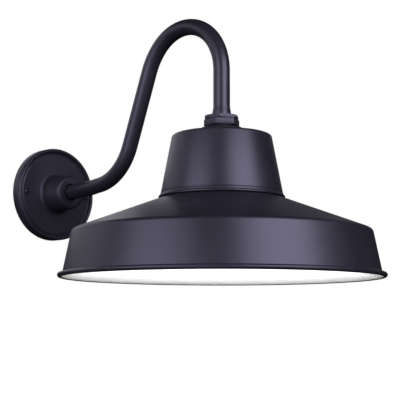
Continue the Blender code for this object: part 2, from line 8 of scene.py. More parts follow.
# %% Load the working model
from math import atan2, cos, hypot, pi, radians, sin, tan, tau

import bmesh
import bpy
from mathutils import Matrix, Vector


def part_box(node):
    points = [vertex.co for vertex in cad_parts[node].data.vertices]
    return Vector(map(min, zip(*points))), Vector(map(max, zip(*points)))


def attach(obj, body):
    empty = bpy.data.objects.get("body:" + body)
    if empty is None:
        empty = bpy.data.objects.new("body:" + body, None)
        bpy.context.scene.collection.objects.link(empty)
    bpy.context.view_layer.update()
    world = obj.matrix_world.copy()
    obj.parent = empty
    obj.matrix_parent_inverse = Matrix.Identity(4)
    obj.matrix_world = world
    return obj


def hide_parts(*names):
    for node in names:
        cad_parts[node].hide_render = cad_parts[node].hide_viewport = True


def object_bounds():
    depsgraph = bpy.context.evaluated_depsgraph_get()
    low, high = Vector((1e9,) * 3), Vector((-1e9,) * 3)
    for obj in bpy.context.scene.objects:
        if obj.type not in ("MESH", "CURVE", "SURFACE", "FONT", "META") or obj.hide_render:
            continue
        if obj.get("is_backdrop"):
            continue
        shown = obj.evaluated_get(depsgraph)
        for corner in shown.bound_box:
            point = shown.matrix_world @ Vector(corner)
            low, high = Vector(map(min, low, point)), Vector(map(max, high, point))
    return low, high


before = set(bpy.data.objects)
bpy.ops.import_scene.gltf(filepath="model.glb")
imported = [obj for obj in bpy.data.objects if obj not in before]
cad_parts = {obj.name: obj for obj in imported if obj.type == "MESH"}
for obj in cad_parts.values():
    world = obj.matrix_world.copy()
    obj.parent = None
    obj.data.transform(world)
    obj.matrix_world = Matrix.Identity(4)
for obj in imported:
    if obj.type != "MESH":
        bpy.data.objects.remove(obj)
working_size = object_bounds()
MM = 0.001

# %% [markdown]
# # Places that everything else is measured from
# The shade, the nuts and the bulb all share one vertical axis. We read it from the shade's own box instead
# of typing it in, so that the fine pieces can't drift away from the parts that they stand for.

# %% Find the shade's axis and the main sizes
shade_low, shade_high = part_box("shade_skirt")
AXIS_Y = (shade_low.y + shade_high.y) / 2
REACH = -AXIS_Y / MM
SHADE_RADIUS = (shade_high.x - shade_low.x) / 2 / MM
RIM_FOOT = shade_low.z / MM
CANOPY_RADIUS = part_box("canopy")[1].x / MM
HUB_FRONT = -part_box("canopy")[0].y / MM
BULB_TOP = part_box("bulb_contact")[1].z / MM
BULB_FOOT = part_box("bulb_diffuser")[0].z / MM
print(f"shade radius {SHADE_RADIUS:.1f} mm, reach {REACH:.1f} mm, canopy radius {CANOPY_RADIUS:.1f} mm")

# %% [markdown]
# # The camera
# The lantern is seen from the front and to one side, from a little below the rim, so the eye looks up into
# the white inside of the shade. A long lens keeps the circles calm. The camera turns about the shade's axis,
# and then aims slightly to the side, so that the canopy fits in the picture as well.

# %% Place the camera
CAMERA_TURN = radians(-45.98)
CAMERA_DISTANCE = 1.32455
CAMERA_HEIGHT = -0.20286
CAMERA_AIM = CAMERA_TURN + radians(1.18)
CAMERA_PITCH = radians(7.09)
CAMERA_ROLL = radians(0.06)


def around(azimuth, distance, height):
    """A point at a heading round the shade's axis. Heading 0 is straight out from the wall."""
    return Vector((sin(azimuth) * distance, AXIS_Y - cos(azimuth) * distance, height))


camera = bpy.data.objects.new("camera", bpy.data.cameras.new("camera"))
bpy.context.scene.collection.objects.link(camera)
camera.data.sensor_width = 36.0
camera.data.lens = 95.88
camera.matrix_world = (
    Matrix.Translation(around(CAMERA_TURN, CAMERA_DISTANCE, CAMERA_HEIGHT))
    @ Matrix.Rotation(CAMERA_AIM, 4, "Z")
    @ Matrix.Rotation(pi / 2 + CAMERA_PITCH, 4, "X")
    @ Matrix.Rotation(CAMERA_ROLL, 4, "Z")
)
bpy.context.scene.camera = camera
print("camera at", [round(v, 3) for v in camera.location])

# %% [markdown]
# # Studio light
# A black lantern shows little colour of its own: what we see is the room in its paint. So the light is
# designed as shapes to be mirrored. A wide box at the right gives the broad streak on the neck and the band,
# a dimmer and lower one at the left gives the second streak, and faint ones behind draw the edges and the
# slope of the shade. The back right has almost none, so that edge stays dark, and a low box lifts the
# undersides. A round light in the mouth of the shade faces up and whitens the enamel, without touching the
# underside of the rolled rim. The floor is a wide disc, so its far edge looks level from every side.

# %% Build the floor, the room and the lights
FLOOR_DROP = 2.6
FLOOR_RADIUS = 20.0
FLOOR_GLOW = 0.88       # keeps the floor pale far from the lights
FLOOR_COLOUR = (0.60, 0.60, 0.61)
AIR_COLOUR = (0.90, 0.88, 1.0)
BOX_COLOUR = (0.95, 0.92, 1.0)
WHITE = (1.0, 1.0, 1.0)


def plain_finish(name, colour, roughness, glow):
    material = bpy.data.materials.new(name)
    material.use_nodes = True
    shader = material.node_tree.nodes["Principled BSDF"]
    shader.inputs["Base Color"].default_value = (*colour, 1.0)
    shader.inputs["Roughness"].default_value = roughness
    shader.inputs["Emission Color"].default_value = (*WHITE, 1.0)
    shader.inputs["Emission Strength"].default_value = glow
    return material


def make_floor():
    build = bmesh.new()
    bmesh.ops.create_circle(build, cap_ends=True, segments=128, radius=FLOOR_RADIUS)
    bmesh.ops.translate(build, verts=build.verts, vec=(0.0, AXIS_Y, -FLOOR_DROP))
    mesh = bpy.data.meshes.new("studio_floor")
    build.to_mesh(mesh)
    build.free()
    mesh.materials.append(plain_finish("pale_floor", FLOOR_COLOUR, 0.8, FLOOR_GLOW))
    floor = bpy.data.objects.new("studio_floor", mesh)
    bpy.context.scene.collection.objects.link(floor)
    floor.visible_glossy = False
    floor.visible_diffuse = False
    floor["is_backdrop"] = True


def make_room(glow):
    """A white backdrop, which lights the lantern much less than it shows."""
    world = bpy.data.worlds.new("studio")
    bpy.context.scene.world = world
    world.use_nodes = True
    nodes, links = world.node_tree.nodes, world.node_tree.links
    backdrop = nodes["Background"]
    backdrop.inputs["Color"].default_value = (*WHITE, 1.0)
    air = nodes.new("ShaderNodeBackground")
    air.inputs["Color"].default_value = (*AIR_COLOUR, 1.0)
    air.inputs["Strength"].default_value = glow
    ray = nodes.new("ShaderNodeLightPath")
    mix = nodes.new("ShaderNodeMixShader")
    links.new(ray.outputs["Is Camera Ray"], mix.inputs[0])
    links.new(air.outputs[0], mix.inputs[1])
    links.new(backdrop.outputs[0], mix.inputs[2])
    links.new(mix.outputs[0], nodes["World Output"].inputs["Surface"])


def softbox(name, heading, height, distance, size, power, shape="RECTANGLE", colour=BOX_COLOUR):
    """A light that faces the shade. Its heading is counted from the camera, to the right."""
    light = bpy.data.lights.new(name, "AREA")
    light.shape = shape
    light.size, light.size_y = size
    light.energy = power
    light.color = colour
    lamp = bpy.data.objects.new(name, light)
    bpy.context.scene.collection.objects.link(lamp)
    lamp.location = around(CAMERA_TURN + radians(heading), distance, height)
    aim = Vector((0.0, AXIS_Y, 0.0)) - lamp.location
    lamp.rotation_euler = aim.to_track_quat("-Z", "Y").to_euler()
    lamp.visible_camera = False
    return lamp


make_floor()
make_room(0.015)
softbox("right_box", 42, 0.64, 1.87, (1.8, 1.2), 48)
softbox("left_box", -46, 0.34, 1.90, (1.6, 1.3), 27)
softbox("far_left_box", -105, 0.70, 1.90, (1.3, 1.0), 4.0)
softbox("back_left_box", -150, 0.72, 1.87, (1.4, 0.9), 5.0)
softbox("back_right_box", 160, 0.78, 1.85, (1.2, 0.9), 0.6)
softbox("low_box", -15, -0.62, 1.85, (1.4, 0.5), 3.0)
MOUTH_SIZE = (0.36, 0.36)       # stays inside the rolled rim
ABOVE_RIM_FOOT = 0.002
mouth_height = shade_low.z + ABOVE_RIM_FOOT
softbox("mouth_light", 0, mouth_height, 0.0, MOUTH_SIZE, 1.0, "ELLIPSE", WHITE)
bpy.context.scene.view_settings.view_transform = "Standard"

# %% [markdown]
# # Writing shader maths as plain expressions
# A finish is a small network of nodes. Wiring each Math node by hand hides the idea, so we wrap a socket in
# a class that knows plus, minus and times. Then `0.4 + 0.1 * grain` builds the two nodes for us. Everything
# that isn't arithmetic goes through one method that makes a node of any type.

# %% Define signals and finishes


class Signal:
    """One value in a finish. Arithmetic on it adds Math nodes."""

    def __init__(self, finish, socket):
        self.finish = finish
        self.socket = socket

    def _math(self, operation, left, right):
        return self.finish.node("ShaderNodeMath", {"operation": operation}, {0: left, 1: right})

    def __add__(self, other):
        return self._math("ADD", self, other)

    def __sub__(self, other):
        return self._math("SUBTRACT", self, other)

    def __rsub__(self, other):
        return self._math("SUBTRACT", other, self)

    def __mul__(self, other):
        return self._math("MULTIPLY", self, other)

    __radd__ = __add__
    __rmul__ = __mul__


class Finish:
    """A material with one Principled shader, on the piece's own coordinates in metres."""

    def __init__(self, name, colour, roughness, metallic=0.0, **constants):
        self.material = bpy.data.materials.new(name)
        self.material.use_nodes = True
        self.tree = self.material.node_tree
        self.shader = self.tree.nodes["Principled BSDF"]
        self.colour = colour
        self.shader.inputs["Base Color"].default_value = (*colour, 1.0)
        self.shader.inputs["Roughness"].default_value = roughness
        self.shader.inputs["Metallic"].default_value = metallic
        for socket, value in constants.items():
            self.shader.inputs[socket.replace("_", " ")].default_value = value
        self.place = self.node("ShaderNodeTexCoord", out="Object")

    def node(self, kind, settings=None, sockets=None, out=0):
        node = self.tree.nodes.new(kind)
        for key, value in (settings or {}).items():
            if key == "stops":
                for stop, (position, shade) in zip(node.color_ramp.elements, value):
                    stop.position = position
                    stop.color = (shade, shade, shade, 1.0)
            else:
                setattr(node, key, value)
        for key, value in (sockets or {}).items():
            if isinstance(value, Signal):
                self.tree.links.new(value.socket, node.inputs[key])
            else:
                node.inputs[key].default_value = value
        return Signal(self, node.outputs[out])

    def feed(self, socket, signal):
        self.tree.links.new(signal.socket, self.shader.inputs[socket])
        return self

    def noise(self, scale, detail=2.0, stretch=(1.0, 1.0, 1.0)):
        """Cloudy values near 0.5. Scale is in clouds a metre; stretch squeezes the pattern along an axis."""
        place = self.node("ShaderNodeMapping", None, {"Vector": self.place, "Scale": stretch})
        return self.node("ShaderNodeTexNoise", None, {"Vector": place, "Scale": scale, "Detail": detail})

    def cells(self, scale):
        """Distance to the nearest of many scattered points, for foam and speckles."""
        return self.node("ShaderNodeTexVoronoi", None, {"Vector": self.place, "Scale": scale})

    def ramp(self, signal, low, high):
        """0 under low, 1 over high."""
        return self.node("ShaderNodeValToRGB", {"stops": ((low, 0.0), (high, 1.0))}, {0: signal})

    def tint(self, factor, second):
        """Mixes the finish's own colour towards a second one and feeds it to the shader."""
        first = (*self.colour, 1.0)
        mixed = self.node("ShaderNodeMix", {"data_type": "RGBA"}, {0: factor, 6: first, 7: (*second, 1.0)}, 2)
        return self.feed("Base Color", mixed)

    def relief(self, height, depth_mm, strength=1.0):
        """Bumps of that depth, in millimetres, where height is 1."""
        sockets = {"Height": height, "Distance": depth_mm * MM, "Strength": strength}
        return self.feed("Normal", self.node("ShaderNodeBump", None, sockets))


# %% [markdown]
# # The black powder coat
# The outside is powder coated: dry powder is sprayed on and baked until it flows. It never flows quite flat,
# so it keeps a fine orange peel about a millimetre across, and its sheen drifts a little over a large part.
# The black leans to violet, and so does its sheen, so we tint the reflection as well as the colour.
# Paint on a casting is rougher than on spun sheet, so the canopy gets a coarser grain than the shade.

# %% Make the black coats
COAT_BLACK = (0.0120, 0.0112, 0.0165)
COAT_GREY = (0.0180, 0.0170, 0.0245)
COAT_SHEEN = (0.75, 0.73, 1.0, 1.0)


def powder_coat(name, roughness, peel_scale, peel_depth):
    coat = Finish(name, COAT_BLACK, roughness, 0.0, Specular_Tint=COAT_SHEEN)
    drift = coat.noise(14.0, 3.0)
    peel = coat.noise(peel_scale, 1.5)
    sway = coat.noise(38.0, 1.0)
    coat.tint(coat.ramp(drift, 0.35, 0.70), COAT_GREY)
    coat.feed("Roughness", roughness - 0.05 + 0.06 * drift + 0.04 * peel)
    return coat.relief(peel + 0.8 * sway, peel_depth)


SHEET_COAT = powder_coat("black_coat_on_sheet", 0.40, 780.0, 0.020)
CAST_COAT = powder_coat("black_coat_on_casting", 0.44, 520.0, 0.045)
TUBE_COAT = powder_coat("black_coat_on_tube", 0.38, 700.0, 0.022)
NUT_COAT = powder_coat("black_coat_on_nuts", 0.42, 640.0, 0.050)
print("black coats:", SHEET_COAT.material.name, CAST_COAT.material.name, TUBE_COAT.material.name)

# %% [markdown]
# # White enamel, porcelain and plastics
# The inside of the shade is glossy white, to throw the light down. Enamel has long soft waves and a few
# dark specks. Porcelain is whiter still under a clear glaze. Moulded plastic has a dull, sparked texture.

# %% Make the white and coloured finishes


def enamel(name):
    glaze = Finish(name, (0.86, 0.86, 0.85), 0.28, 0.0, Coat_Weight=0.4, Coat_Roughness=0.12)
    waves = glaze.noise(30.0, 2.0)
    specks = 1 - glaze.ramp(glaze.cells(120.0), 0.015, 0.035)
    glaze.tint(0.5 * specks + 0.12 * waves, (0.70, 0.69, 0.66))
    glaze.feed("Roughness", 0.24 + 0.10 * waves)
    return glaze.relief(waves, 0.10)


def porcelain(name):
    body = Finish(name, (0.86, 0.85, 0.81), 0.16, 0.0, Coat_Weight=0.8, Coat_Roughness=0.05)
    cloud = body.noise(60.0, 3.0)
    specks = 1 - body.ramp(body.cells(300.0), 0.02, 0.05)
    body.tint(0.3 * specks + 0.2 * cloud, (0.72, 0.68, 0.60))
    body.feed("Roughness", 0.12 + 0.10 * cloud)
    return body.relief(cloud, 0.08)


def moulded(name, colour, second, roughness, grain=1400.0, depth=0.015, **constants):
    """Plastic and rubber: a fine sparked or foamed grain and a slightly uneven colour."""
    body = Finish(name, colour, roughness, 0.0, **constants)
    cloud = body.noise(45.0, 3.0)
    fine = body.noise(grain, 1.0)
    body.tint(body.ramp(cloud, 0.35, 0.70), second)
    body.feed("Roughness", roughness - 0.06 + 0.12 * fine)
    return body.relief(fine, depth)


def foam(name):
    body = Finish(name, (0.030, 0.030, 0.031), 0.9)
    pores = body.cells(900.0)
    cloud = body.noise(70.0, 2.0)
    body.tint(0.6 * cloud, (0.055, 0.055, 0.056))
    body.feed("Roughness", 0.82 + 0.15 * pores)
    return body.relief(pores, 0.25)


WHITE_ENAMEL = enamel("white_enamel_inside")
PORCELAIN = porcelain("glazed_porcelain")
FOAM = foam("closed_cell_foam")
RUBBER = moulded("black_moulded_rubber", (0.016, 0.016, 0.016), (0.026, 0.026, 0.026), 0.75, 900.0, 0.03)
GREEN_VINYL = moulded("green_vinyl", (0.03, 0.24, 0.07), (0.05, 0.32, 0.11), 0.42)
BLACK_VINYL = moulded("black_vinyl", (0.016, 0.016, 0.017), (0.028, 0.028, 0.029), 0.42)
WHITE_VINYL = moulded("white_vinyl", (0.80, 0.80, 0.77), (0.70, 0.69, 0.65), 0.42)
BLACK_GLASS = moulded("black_insulating_glass", (0.012, 0.012, 0.014), (0.022, 0.020, 0.024), 0.12,
                      300.0, 0.02)
WHITE_PLASTIC = moulded("white_moulded_plastic", (0.84, 0.84, 0.82), (0.78, 0.78, 0.75), 0.40)
OPAL = moulded("opal_diffuser", (0.90, 0.90, 0.88), (0.84, 0.84, 0.81), 0.34, 1600.0, 0.01,
               Subsurface_Weight=0.25, Subsurface_Scale=0.004)
print("plastics and enamels are ready")

# %% [markdown]
# # Bare and plated metals
# Inside the neck and behind the canopy the metals are left bare or thinly plated. Rolled and turned metal
# carries fine lines along the way it was worked, and plating is never one even colour. One helper makes them
# all: we stretch a noise along one axis for the lines, and add a slow stain.

# %% Make the metals


def metal(name, colour, stain, roughness, lines=(1.0, 1.0, 14.0), depth=0.012):
    body = Finish(name, colour, roughness, 1.0)
    strokes = body.noise(220.0, 2.0, lines)
    cloud = body.noise(80.0, 3.0)
    body.tint(body.ramp(cloud, 0.40, 0.75), stain)
    body.feed("Roughness", roughness - 0.08 + 0.10 * strokes + 0.10 * cloud)
    return body.relief(strokes, depth)


ZINC = metal("zinc_plate", (0.60, 0.59, 0.56), (0.50, 0.50, 0.53), 0.34, (1.0, 1.0, 1.0), 0.02)
NICKEL = metal("nickel_plate", (0.66, 0.64, 0.59), (0.58, 0.56, 0.52), 0.26)
ALUMINIUM = metal("die_cast_aluminium", (0.60, 0.60, 0.61), (0.50, 0.50, 0.52), 0.42, (1.0, 1.0, 1.0), 0.04)
BRASS = metal("rolled_brass", (0.74, 0.54, 0.25), (0.60, 0.41, 0.18), 0.30)
COPPER = metal("bare_copper", (0.85, 0.46, 0.30), (0.62, 0.30, 0.19), 0.32, (1.0, 14.0, 1.0))
BLACK_OXIDE = metal("black_oxide", (0.05, 0.05, 0.055), (0.08, 0.075, 0.07), 0.40)
GREEN_DYE = metal("green_dyed_zinc", (0.06, 0.30, 0.11), (0.04, 0.22, 0.08), 0.36)
print("metals are ready")

# %% [markdown]
# # Turning: most of the lantern is round
# A spinner presses a flat disc over a turning form, a lathe cuts nuts and washers, and a mould is turned as
# well. So one tool makes most pieces here: draw half of the cross-section and spin it. A second helper rounds
# the corners of that drawing, because no real edge is perfectly sharp, and a rounded edge catches the light.

# %% Write the helpers for round pieces


def softened(corners, sides=5):
    """Rounds each (radius, height, fillet) corner of a closed outline. A fillet of 0 keeps the corner."""
    points = []
    for i, (radius, height, fillet) in enumerate(corners):
        here = Vector((radius, height))
        if not fillet:
            points.append((radius, height))
            continue
        back = (Vector(corners[i - 1][:2]) - here).normalized()
        ahead = (Vector(corners[(i + 1) % len(corners)][:2]) - here).normalized()
        half = back.angle(ahead) / 2
        centre = here + (back + ahead).normalized() * (fillet / sin(half))
        first = (here + back * (fillet / tan(half)) - centre).normalized()
        last = (here + ahead * (fillet / tan(half)) - centre).normalized()
        points += [tuple(centre + first.slerp(last, t / sides) * fillet) for t in range(sides + 1)]
    return points


def arc(centre, radius, start, end, count):
    """Points on a circle between two angles, in degrees from the outward direction."""
    turns = [radians(start + (end - start) * i / count) for i in range(count + 1)]
    return [(centre[0] + radius * cos(a), centre[1] + radius * sin(a)) for a in turns]


def spun(profile, sides=144, closed=True, on_axis=True):
    """Spins an outline of (radius, height) in millimetres about the vertical axis, or about the shade's."""
    build = bmesh.new()
    rim = [build.verts.new((r * MM, 0.0, z * MM)) for r, z in profile]
    edges = [build.edges.new(pair) for pair in zip(rim, rim[1:])]
    if closed:
        edges.append(build.edges.new((rim[-1], rim[0])))
    bmesh.ops.spin(build, geom=rim + edges, cent=(0, 0, 0), axis=(0, 0, 1), angle=tau, steps=sides,
                   use_merge=True)
    if on_axis:
        bmesh.ops.translate(build, verts=build.verts, vec=(0.0, AXIS_Y, 0.0))
    return close_seams(build)


def close_seams(build):
    bmesh.ops.remove_doubles(build, verts=build.verts, dist=0.000001)
    bmesh.ops.recalc_face_normals(build, faces=build.faces)
    return build


def face_out(build, across=0.0):
    """Turns a piece from standing up to facing out from the wall, and moves it along the wall."""
    bmesh.ops.rotate(build, verts=build.verts, cent=(0, 0, 0), matrix=Matrix.Rotation(pi / 2, 3, "X"))
    bmesh.ops.translate(build, verts=build.verts, vec=(across * MM, 0.0, 0.0))
    return build


def add_piece(name, build, finishes, replaced=(), body="lantern", sharp=32.0):
    """Turns a bmesh into a finished piece that rides on a body and stands for its working part."""
    mesh = bpy.data.meshes.new(name)
    build.to_mesh(mesh)
    build.free()
    for finish in finishes:
        mesh.materials.append(finish.material)
    mesh.shade_smooth()
    mesh.set_sharp_from_angle(angle=radians(sharp))
    piece = bpy.data.objects.new(name, mesh)
    bpy.context.scene.collection.objects.link(piece)
    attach(piece, body)
    if replaced:
        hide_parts(*replaced)
    print(f"{name}: {len(mesh.polygons)} faces")
    return piece


# %% [markdown]
# # Cutting and softening
# Screw recesses, key sockets and screw holes are cut away, as a machine would cut them. A Boolean does that,
# and we remove the cutter at once. A Bevel on the sharp edges then breaks them, as tumbling or paint does.

# %% Write the helpers for cut pieces


def temporary(build):
    mesh = bpy.data.meshes.new("temporary")
    build.to_mesh(mesh)
    build.free()
    obj = bpy.data.objects.new("temporary", mesh)
    bpy.context.scene.collection.objects.link(obj)
    return obj


def cut(build, cutters):
    """Cuts one bmesh with others and returns what is left."""
    obj = temporary(build)
    tools = [temporary(cutter) for cutter in cutters]
    for tool in tools:
        modifier = obj.modifiers.new("cut", "BOOLEAN")
        modifier.operation = "DIFFERENCE"
        modifier.solver = "EXACT"
        modifier.object = tool
    evaluated = obj.evaluated_get(bpy.context.evaluated_depsgraph_get())
    left = bmesh.new()
    left.from_mesh(evaluated.to_mesh())
    for leftover in (obj, *tools):
        bpy.data.objects.remove(leftover, do_unlink=True)
    return left


def soften_edges(build, width, limit=28.0, segments=2):
    """Bevels every edge whose faces meet at more than the limit, in degrees."""
    sharp = [e for e in build.edges if e.is_manifold and e.calc_face_angle(0.0) > radians(limit)]
    bmesh.ops.bevel(build, geom=sharp, offset=width * MM, offset_type="OFFSET", segments=segments,
                    profile=0.5, affect="EDGES", material=-1, clamp_overlap=True)
    return build


def box_tool(size, centre, turn=0.0):
    build = bmesh.new()
    place = (Matrix.Translation(Vector(centre) * MM) @ Matrix.Rotation(radians(turn), 4, "Z")
             @ Matrix.Diagonal((*(Vector(size) * MM), 1.0)))
    bmesh.ops.create_cube(build, size=1.0, matrix=place)
    return build


def rod_tool(radius, low, high, sides=32):
    build = bmesh.new()
    place = Matrix.Translation((0.0, 0.0, (low + high) / 2 * MM))
    bmesh.ops.create_cone(build, cap_ends=True, segments=sides, radius1=radius * MM, radius2=radius * MM,
                          depth=(high - low) * MM, matrix=place)
    return build


# %% [markdown]
# # The shade's skirt
# A disc is spun into a cone, a shoulder and a flared band, and its edge is rolled over to stiffen it.
# It could be a subdivided cone, but a spun outline gives the exact radii. The outside is black and the inside
# white, and the two meet under the roll, where the masking ended. We pick the faces by the way they point.

# %% Spin the skirt
SHEET = 1.2
COLLAR_TOP = shade_high.z / MM
LIP_FOOT = -36.1
SHOULDER = (186.6, -78.0)
ROLL = 3.05             # radius of the rolled edge
ROLL_CENTRE = (SHADE_RADIUS - ROLL, RIM_FOOT + ROLL)
BAND_SLOPE = 0.198
PAINT_EDGE = -0.72      # how far inward the roll's face must point to be white
NECK_SHOULDER = (63.9, 41.6)
NECK_TAPER = 0.1768
COLLAR_INSET = 1.9      # the neck's wall and the crimp's gap


def neck_radius(height):
    """The tapered neck's outer radius."""
    return NECK_SHOULDER[0] + (NECK_SHOULDER[1] - height) * NECK_TAPER


def inside_of(points, wall):
    """The same run, moved towards the axis by the wall's thickness."""
    moved = []
    for i, point in enumerate(points):
        ahead = Vector(points[min(i + 1, len(points) - 1)])
        behind = Vector(points[max(i - 1, 0)])
        run = (ahead - behind).normalized()
        moved.append((point[0] + run.y * wall, point[1] - run.x * wall))
    return moved


def whiten_inside(build, rule):
    for face in build.faces:
        centre = face.calc_center_median()
        out = Vector((centre.x, centre.y - AXIS_Y, 0.0)).normalized()
        if rule(face.normal.dot(out), face.normal.z, centre.z / MM):
            face.material_index = 1


def skirt_profile():
    collar = (neck_radius(COLLAR_TOP) - COLLAR_INSET, COLLAR_TOP)
    collar_foot = (neck_radius(LIP_FOOT) - COLLAR_INSET, LIP_FOOT - 0.3)
    band_foot_z = ROLL_CENTRE[1] + 2.6
    band_foot = (SHOULDER[0] + (SHOULDER[1] - ROLL_CENTRE[1]) * BAND_SLOPE - 0.5, band_foot_z)
    outline = softened([(*collar, 0), (*collar_foot, 2.0), (*SHOULDER, 6.0), (*band_foot, 0)], 12)
    roll = arc(ROLL_CENTRE, ROLL, 130, -165, 30)
    return outline + roll + inside_of(outline, SHEET)[::-1]


skirt = spun(skirt_profile(), 240)
ROLL_TOP = ROLL_CENTRE[1] + 2.0
whiten_inside(skirt, lambda out, up, z: out < (PAINT_EDGE if z < ROLL_TOP else -0.2))
add_piece("spun_skirt", skirt, (SHEET_COAT, WHITE_ENAMEL), ["shade_skirt"])

# %% [markdown]
# # The neck housing
# The neck is a tapered cup with a gently domed top. A narrow groove near its foot marks where it was pressed
# over the skirt's collar, and a small lip covers the joint. The same outline helper rounds each step.

# %% Spin the neck
GROOVE = -29.8
LIP = 79.4
NECK_TOP = 45.5
NECK_WALL = 1.5
STEM_HOLE = 12.5


def neck_profile():
    wall = NECK_WALL
    at_groove = neck_radius(GROOVE)
    return softened([
        (STEM_HOLE, NECK_TOP, 0), (32.0, NECK_TOP, 0), (62.9, NECK_TOP - 2.4, 3.6),
        (at_groove - 0.1, GROOVE + 0.5, 0.25), (at_groove - 0.6, GROOVE + 0.2, 0),
        (at_groove - 0.6, GROOVE - 0.2, 0), (at_groove + 0.5, GROOVE - 0.8, 0.3),
        (LIP - 1.9, LIP_FOOT + 3.0, 0.8), (LIP, LIP_FOOT + 1.9, 0.7), (LIP, LIP_FOOT, 0.7),
        (neck_radius(LIP_FOOT) - wall, LIP_FOOT, 0.3), (neck_radius(37.6) - wall, 37.6, 1.5),
        (58.9, NECK_TOP - 2.4 - wall, 1.5), (32.0, NECK_TOP - wall, 0), (STEM_HOLE, NECK_TOP - wall, 0),
    ], 6)


neck = spun(neck_profile(), 216)
whiten_inside(neck, lambda out, up, z: out < -0.5 or (up < -0.5 and z > 30.0))
add_piece("pressed_neck", neck, (SHEET_COAT, WHITE_ENAMEL), ["neck_housing"])

# %% [markdown]
# # Washers and the rubber seal
# A domed washer spreads the nut's force over the thin neck, and a rubber seal above it keeps the rain out.
# Rubber bulges where it is squeezed, so its edge is a half circle. Foam behind the canopy does the same job.

# %% Spin the washers, the seal and the wall gasket
dome_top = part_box("domed_washer")[1].z / MM
dome_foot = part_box("domed_washer")[0].z / MM
dome = softened([
    (STEM_HOLE, dome_top, 0.3), (26.6, dome_top, 3.0), (30.0, dome_foot, 0.3),
    (28.2, dome_foot, 0.2), (25.4, dome_top - 1.7, 1.6), (STEM_HOLE, dome_top - 1.7, 0.3),
], 6)
add_piece("domed_cup_washer", spun(dome, 144), (SHEET_COAT,), ["domed_washer"])

seal_low, seal_high = (corner.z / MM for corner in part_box("sealing_washer"))
seal_mid = (seal_low + seal_high) / 2
seal_half = (seal_high - seal_low) / 2
SEAL_RADIUS = 18.5
seal = arc((SEAL_RADIUS - seal_half, seal_mid), seal_half, 90, -90, 10)
seal += [(STEM_HOLE, seal_low), (STEM_HOLE, seal_high)]
add_piece("rubber_seal", spun(seal, 96), (RUBBER,), ["sealing_washer"])

FOAM_RADIUS = 61.0
FOAM_THICKNESS = 1.5
gasket = softened([
    (CANOPY_RADIUS, FOAM_THICKNESS, 0.5), (FOAM_RADIUS, FOAM_THICKNESS, 0.4), (FOAM_RADIUS, 0.0, 0.4),
    (CANOPY_RADIUS, 0.0, 0.5),
], 4)
foam_ring = face_out(spun(gasket, 144, on_axis=False))
add_piece("foam_gasket", foam_ring, (FOAM,), ["wall_gasket"])

# %% [markdown]
# # Hexagon nuts
# A nut starts as hexagon bar, and a cutter then chamfers its corners, which leaves a curve on each flat. A
# six-sided prism can't show that curve. So we draw rings of many points and pull each one in to the hexagon,
# lowering it by how far it stands outside the chamfer's circle. The curve then makes itself.

# %% Build the nuts
RING = 96
CHAMFER = radians(29.0)
NUT_BORE = 12.4
BORE_CHAMFER = 0.7


def next_ring(build, ring, radius_at, height_at):
    """Extrudes a ring and moves each of its points to a radius and a height that depend on the angle."""
    verts = set(ring)
    edges = [e for e in build.edges if all(v in verts for v in e.verts)]
    made = bmesh.ops.extrude_edge_only(build, edges=edges)["geom"]
    new = [v for v in made if isinstance(v, bmesh.types.BMVert)]
    for vert in new:
        angle = atan2(vert.co.y, vert.co.x)
        radius = radius_at(angle)
        vert.co = Vector((radius * cos(angle), radius * sin(angle), height_at(angle))) * MM
    return new


def hexagon_nut(corner, bore, low, high, turn, circle):
    """Turn is one flat's heading from straight out, and circle is the radius where the chamfer starts."""
    flat = corner * cos(pi / 6)
    heading = radians(turn - 90.0)

    def hexagon(angle):
        return flat / cos((angle - heading + pi / 6) % (pi / 3) - pi / 6)

    def drop(angle):
        return max(0.0, hexagon(angle) - circle) * tan(CHAMFER)

    edge = min(circle, flat * 0.995)
    wide = bore + BORE_CHAMFER
    steps = [
        (lambda a: edge, lambda a: high), (hexagon, lambda a: high - drop(a)),
        (hexagon, lambda a: low + drop(a)), (lambda a: edge, lambda a: low),
        (lambda a: wide, lambda a: low), (lambda a: bore, lambda a: low + BORE_CHAMFER),
        (lambda a: bore, lambda a: high - BORE_CHAMFER), (lambda a: wide, lambda a: high),
    ]
    build = bmesh.new()
    bmesh.ops.create_circle(build, segments=RING, radius=wide * MM)
    bmesh.ops.translate(build, verts=build.verts, vec=(0.0, 0.0, high * MM))
    ring = list(build.verts)
    for radius_at, height_at in steps:
        ring = next_ring(build, ring, radius_at, height_at)
    return close_seams(build)


def stem_nut(name, node, corner, turn, circle, finish):
    low, high = (corner_point.z / MM for corner_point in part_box(node))
    nut = soften_edges(hexagon_nut(corner, NUT_BORE, low, high, turn, circle), 0.28)
    bmesh.ops.translate(nut, verts=nut.verts, vec=(0.0, AXIS_Y, 0.0))
    return add_piece(name, nut, (finish,), [node])


stem_nut("thin_locknut", "stem_locknut", 23.2, -23.5, 21.3, NUT_COAT)
stem_nut("thick_hexagon_nut", "stem_hex_nut", 23.2, -35.0, 22.4, NUT_COAT)
stem_nut("inner_neck_nut", "neck_locknut", 19.0, 10.0, 17.6, ZINC)

ARM_BORE = 10.95
back, front = (-corner.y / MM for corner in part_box("arm_locknut")[::-1])
arm_nut = soften_edges(hexagon_nut(17.5, ARM_BORE, back, front, 0.0, 16.2), 0.25)
add_piece("inner_arm_nut", face_out(arm_nut), (ZINC,), ["arm_locknut"])

# %% [markdown]
# # The bent arm
# The arm is one tube, bent on a machine and swelled at its lower end, where the nuts grip it. We walk along
# its centreline, a few degrees at a time, and extrude a ring from step to step. A curve with a bevel would
# do as well, but rings let us give the swelling its own smooth shape. Solidify then gives the tube its wall.

